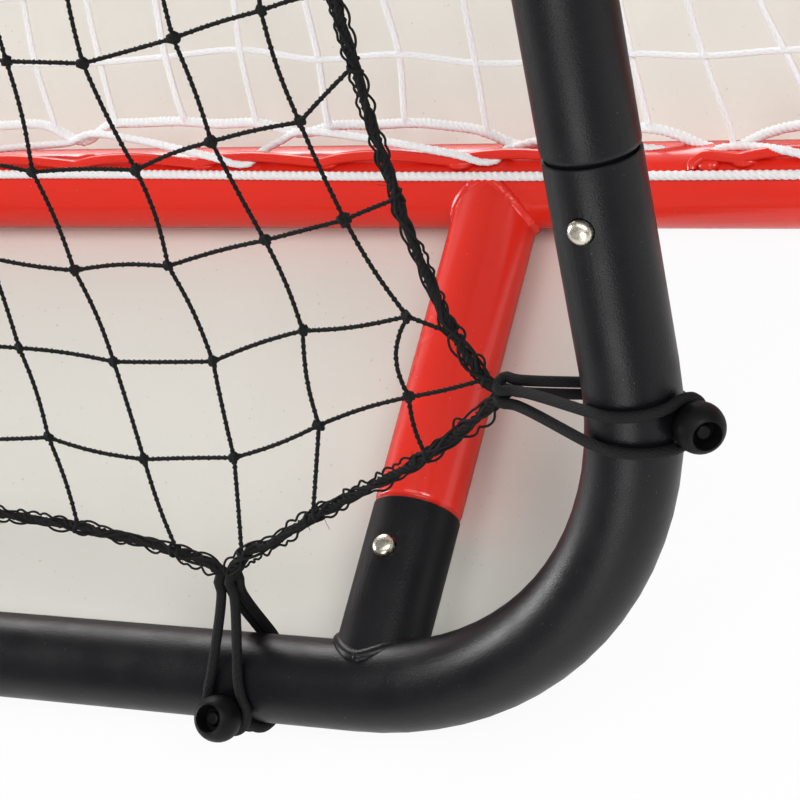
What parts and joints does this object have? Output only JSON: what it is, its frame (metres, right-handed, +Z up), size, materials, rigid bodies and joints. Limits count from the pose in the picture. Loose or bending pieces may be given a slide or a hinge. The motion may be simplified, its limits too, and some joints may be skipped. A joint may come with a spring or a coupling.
{
  "type": "rebounder goal",
  "caption": "Tubular steel goal with a sloping back net and a leaning ball rebounder whose net hangs in the frame on elastic cords with ball ends.",
  "frame": {"origin": "on the floor, under the middle of the whole object's box", "axes": "+Z up, +Y out of the goal's mouth, -Y the way the rebounder faces, +X along the crossbar"},
  "size_m": [1.5622, 1.0789, 0.9905],
  "materials": {
    "black_powder_coat": "satin",
    "red_enamel": "glossy",
    "nickel_plate": "polished",
    "black_elastic_cord": "woven, matte",
    "black_ball_plastic": "matte",
    "black_net_twine": "twisted, matte",
    "white_net_cord": "braided, matte"
  },
  "bodies": {
    "frame": {"bungee_ball_left_1": "black_ball_plastic", "bungee_ball_left_2": "black_ball_plastic", "bungee_ball_left_3": "black_ball_plastic", "bungee_ball_lower_1": "black_ball_plastic", "bungee_ball_lower_2": "black_ball_plastic", "bungee_ball_lower_3": "black_ball_plastic", "bungee_ball_right_1": "black_ball_plastic", "bungee_ball_right_2": "black_ball_plastic", "bungee_ball_right_3": "black_ball_plastic", "bungee_ball_upper_1": "black_ball_plastic", "bungee_ball_upper_2": "black_ball_plastic", "bungee_ball_upper_3": "black_ball_plastic", "bungee_cord_left_1": "black_elastic_cord", "bungee_cord_left_2": "black_elastic_cord", "bungee_cord_left_3": "black_elastic_cord", "bungee_cord_lower_1": "black_elastic_cord", "bungee_cord_lower_2": "black_elastic_cord", "bungee_cord_lower_3": "black_elastic_cord", "bungee_cord_right_1": "black_elastic_cord", "bungee_cord_right_2": "black_elastic_cord", "bungee_cord_right_3": "black_elastic_cord", "bungee_cord_upper_1": "black_elastic_cord", "bungee_cord_upper_2": "black_elastic_cord", "bungee_cord_upper_3": "black_elastic_cord", "goal_crossbar": "red_enamel", "goal_net_back": "white_net_cord", "goal_net_border_rope": "white_net_cord", "goal_net_lacing_cord": "white_net_cord", "goal_net_side_left": "white_net_cord", "goal_net_side_right": "white_net_cord", "goal_rear_base_bar": "red_enamel", "goal_side_frame_left": "red_enamel", "goal_side_frame_right": "red_enamel", "lacing_wire_crossbar": "red_enamel", "lacing_wire_rear": "red_enamel", "rebounder_lower_rail": "black_powder_coat", "rebounder_net": "black_net_twine", "rebounder_upper_rail": "black_powder_coat", "rebounder_upright_left": "black_powder_coat", "rebounder_upright_right": "black_powder_coat", "standoff_lower_left": "red_enamel", "standoff_lower_right": "red_enamel", "standoff_upper_left": "red_enamel", "standoff_upper_right": "red_enamel"},
    "button_base_left": {"snap_clip_base_left": "nickel_plate"},
    "button_base_right": {"snap_clip_base_right": "nickel_plate"},
    "button_post_left": {"snap_clip_post_left": "nickel_plate"},
    "button_post_right": {"snap_clip_post_right": "nickel_plate"},
    "button_standoff_lower_left": {"snap_clip_standoff_lower_left": "nickel_plate"},
    "button_standoff_lower_right": {"snap_clip_standoff_lower_right": "nickel_plate"},
    "button_standoff_upper_left": {"snap_clip_standoff_upper_left": "nickel_plate"},
    "button_standoff_upper_right": {"snap_clip_standoff_upper_right": "nickel_plate"},
    "button_upright_lower_left": {"snap_clip_upright_lower_left": "nickel_plate"},
    "button_upright_lower_right": {"snap_clip_upright_lower_right": "nickel_plate"},
    "button_upright_upper_left": {"snap_clip_upright_upper_left": "nickel_plate"},
    "button_upright_upper_right": {"snap_clip_upright_upper_right": "nickel_plate"}
  },
  "joints": [
    {"name": "button_base_left_press", "type": "slide", "parent": "frame", "child": "button_base_left", "axis": [1, 0, 0], "range_m": [-0.0053, 0], "stiffness_N_per_m": 2000},
    {"name": "button_base_right_press", "type": "slide", "parent": "frame", "child": "button_base_right", "axis": [-1, 0, 0], "range_m": [-0.0053, 0], "stiffness_N_per_m": 2000},
    {"name": "button_post_left_press", "type": "slide", "parent": "frame", "child": "button_post_left", "axis": [1, 0, 0], "range_m": [-0.0053, 0], "stiffness_N_per_m": 2000},
    {"name": "button_post_right_press", "type": "slide", "parent": "frame", "child": "button_post_right", "axis": [-1, 0, 0], "range_m": [-0.0053, 0], "stiffness_N_per_m": 2000},
    {"name": "button_standoff_lower_left_press", "type": "slide", "parent": "frame", "child": "button_standoff_lower_left", "axis": [0, 0.0282, 0.9996], "range_m": [-0.0053, 0], "stiffness_N_per_m": 2000},
    {"name": "button_standoff_lower_right_press", "type": "slide", "parent": "frame", "child": "button_standoff_lower_right", "axis": [0, 0.0282, 0.9996], "range_m": [-0.0053, 0], "stiffness_N_per_m": 2000},
    {"name": "button_standoff_upper_left_press", "type": "slide", "parent": "frame", "child": "button_standoff_upper_left", "axis": [0, 0.0282, 0.9996], "range_m": [-0.0053, 0], "stiffness_N_per_m": 2000},
    {"name": "button_standoff_upper_right_press", "type": "slide", "parent": "frame", "child": "button_standoff_upper_right", "axis": [0, 0.0282, 0.9996], "range_m": [-0.0053, 0], "stiffness_N_per_m": 2000},
    {"name": "button_upright_lower_left_press", "type": "slide", "parent": "frame", "child": "button_upright_lower_left", "axis": [0, -0.766, 0.6428], "range_m": [-0.0053, 0], "stiffness_N_per_m": 2000},
    {"name": "button_upright_lower_right_press", "type": "slide", "parent": "frame", "child": "button_upright_lower_right", "axis": [0, -0.766, 0.6428], "range_m": [-0.0053, 0], "stiffness_N_per_m": 2000},
    {"name": "button_upright_upper_left_press", "type": "slide", "parent": "frame", "child": "button_upright_upper_left", "axis": [0, -0.766, 0.6428], "range_m": [-0.0053, 0], "stiffness_N_per_m": 2000},
    {"name": "button_upright_upper_right_press", "type": "slide", "parent": "frame", "child": "button_upright_upper_right", "axis": [0, -0.766, 0.6428], "range_m": [-0.0053, 0], "stiffness_N_per_m": 2000}
  ]
}
